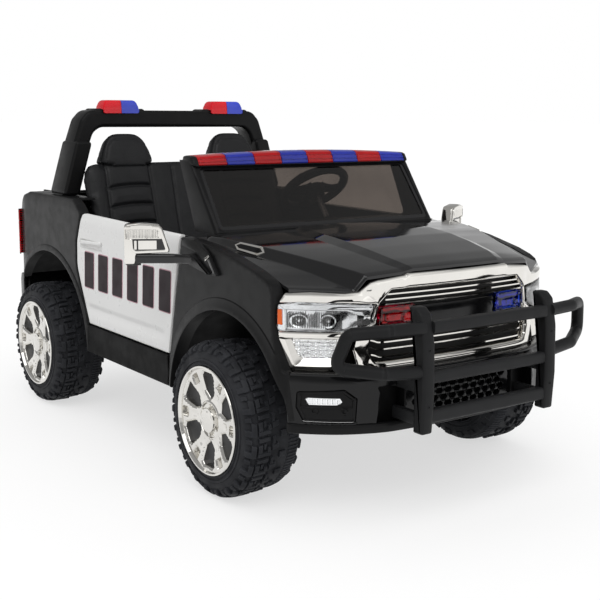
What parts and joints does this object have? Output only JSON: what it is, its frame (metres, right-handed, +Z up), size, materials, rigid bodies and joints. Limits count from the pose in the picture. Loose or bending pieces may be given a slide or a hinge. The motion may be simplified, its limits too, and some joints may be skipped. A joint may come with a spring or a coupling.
{
  "type": "toy police pickup truck",
  "caption": "Child's two-seat electric ride-on police pickup truck with opening doors, steering, light bar, beacons, roll bar and bull bar.",
  "frame": {"origin": "on the ground under the middle of the truck's length and width", "axes": "+X forward, +Y to the truck's left, +Z up"},
  "size_m": [1.362, 0.858, 0.717],
  "materials": {
    "body_satin": "satin black moulded plastic",
    "hood_gloss": "high gloss black",
    "door_white": "gloss white",
    "chrome": "vacuum chromed plastic",
    "black_plastic": "fine grained black plastic",
    "lens_red": "transparent red",
    "lens_blue": "transparent blue",
    "lens_clear": "clear",
    "smoked_glass": "smoked, clear plastic",
    "seat_leatherette": "black, sewn",
    "wheel_black": "hard black wheel plastic with tread",
    "steel": "zinc plated",
    "drive_plastic": "plain"
  },
  "bodies": {
    "root": {"chassis_tub": "black_plastic", "front_fender_right": "body_satin", "front_fender_left": "body_satin", "rear_quarter_right": "body_satin", "rear_quarter_left": "body_satin", "hood": "hood_gloss", "grille_surround": "chrome", "grille_backing": "black_plastic", "grille_bars": "chrome", "grille_lamp_red": "lens_red", "grille_lamp_blue": "lens_blue", "headlight_right": "lens_clear", "headlight_left": "lens_clear", "front_bumper": "hood_gloss", "bull_bar": "black_plastic", "windscreen_frame": "black_plastic", "windscreen_glass": "smoked_glass", "light_bar_base": "black_plastic", "light_bar_red": "lens_red", "light_bar_blue": "lens_blue", "dashboard": "black_plastic", "steering_column": "black_plastic", "seat_cushion": "seat_leatherette", "seat_back": "seat_leatherette", "headrests": "seat_leatherette", "roll_bar": "black_plastic", "beacon_bases": "black_plastic", "beacons_red": "lens_red", "beacons_blue": "lens_blue", "mirror_arm_right": "black_plastic", "mirror_arm_left": "black_plastic", "mirror_head_right": "chrome", "mirror_head_left": "chrome", "bed_tub": "black_plastic", "rear_panel": "body_satin", "rear_bumper": "black_plastic", "tail_lamp_right": "lens_red", "tail_lamp_left": "lens_red", "front_axle": "steel", "rear_axle": "steel", "gearbox_right": "drive_plastic", "gearbox_left": "drive_plastic", "battery": "drive_plastic"},
    "door_right": {"door_right": "door_white"},
    "door_left": {"door_left": "door_white"},
    "tailgate": {"tailgate": "body_satin"},
    "steering_wheel": {"steering_wheel": "black_plastic", "steering_shaft": "steel"},
    "knuckle_right": {"knuckle_right": "steel"},
    "knuckle_left": {"knuckle_left": "steel"},
    "tie_rod": {"tie_rod": "steel"},
    "wheel_front_right": {"tyre_front_right": "wheel_black", "rim_front_right": "chrome"},
    "wheel_front_left": {"tyre_front_left": "wheel_black", "rim_front_left": "chrome"},
    "wheel_rear_right": {"tyre_rear_right": "wheel_black", "rim_rear_right": "chrome"},
    "wheel_rear_left": {"tyre_rear_left": "wheel_black", "rim_rear_left": "chrome"}
  },
  "joints": [
    {"name": "right_steer", "type": "hinge", "parent": "root", "child": "knuckle_right", "pos_m": [0.33, -0.233, 0.1435], "axis": [0, 0, 1], "range_deg": [-20, 20]},
    {"name": "left_steer", "type": "hinge", "parent": "root", "child": "knuckle_left", "pos_m": [0.33, 0.233, 0.1435], "axis": [0, 0, 1], "range_deg": [-20, 20]},
    {"name": "tie_rod_pivot", "type": "hinge", "parent": "knuckle_right", "child": "tie_rod", "pos_m": [0.27, -0.233, 0.116], "axis": [0, 0, 1], "range_deg": [-20, 20]},
    {"name": "steering_wheel_turn", "type": "hinge", "parent": "root", "child": "steering_wheel", "pos_m": [-0.02, 0.13, 0.52], "axis": [-0.6225, 0, 0.7826], "range_deg": [-50, 50]},
    {"name": "door_right_hinge", "type": "hinge", "parent": "root", "child": "door_right", "pos_m": [0.14137, -0.317, 0.34], "axis": [0.2071, 0, 0.9783], "range_deg": [0, 50]},
    {"name": "door_left_hinge", "type": "hinge", "parent": "root", "child": "door_left", "pos_m": [0.14137, 0.317, 0.34], "axis": [-0.2071, 0, -0.9783], "range_deg": [0, 50]},
    {"name": "tailgate_hinge", "type": "hinge", "parent": "root", "child": "tailgate", "pos_m": [-0.646, 0, 0.3798], "axis": [0, -1, 0], "range_deg": [0, 90]},
    {"name": "front_right_spin", "type": "hinge", "parent": "knuckle_right", "child": "wheel_front_right", "pos_m": [0.33, -0.3, 0.1435], "axis": [0, 1, 0], "continuous": true},
    {"name": "front_left_spin", "type": "hinge", "parent": "knuckle_left", "child": "wheel_front_left", "pos_m": [0.33, 0.3, 0.1435], "axis": [0, 1, 0], "continuous": true},
    {"name": "rear_right_spin", "type": "hinge", "parent": "root", "child": "wheel_rear_right", "pos_m": [-0.47, -0.3, 0.1435], "axis": [0, 1, 0], "continuous": true},
    {"name": "rear_left_spin", "type": "hinge", "parent": "root", "child": "wheel_rear_left", "pos_m": [-0.47, 0.3, 0.1435], "axis": [0, 1, 0], "continuous": true}
  ],
  "couplings": [
    {"joint": "left_steer", "follows": "right_steer", "ratio": 1},
    {"joint": "tie_rod_pivot", "follows": "right_steer", "ratio": -1},
    {"joint": "steering_wheel_turn", "follows": "right_steer", "ratio": 2.5}
  ]
}
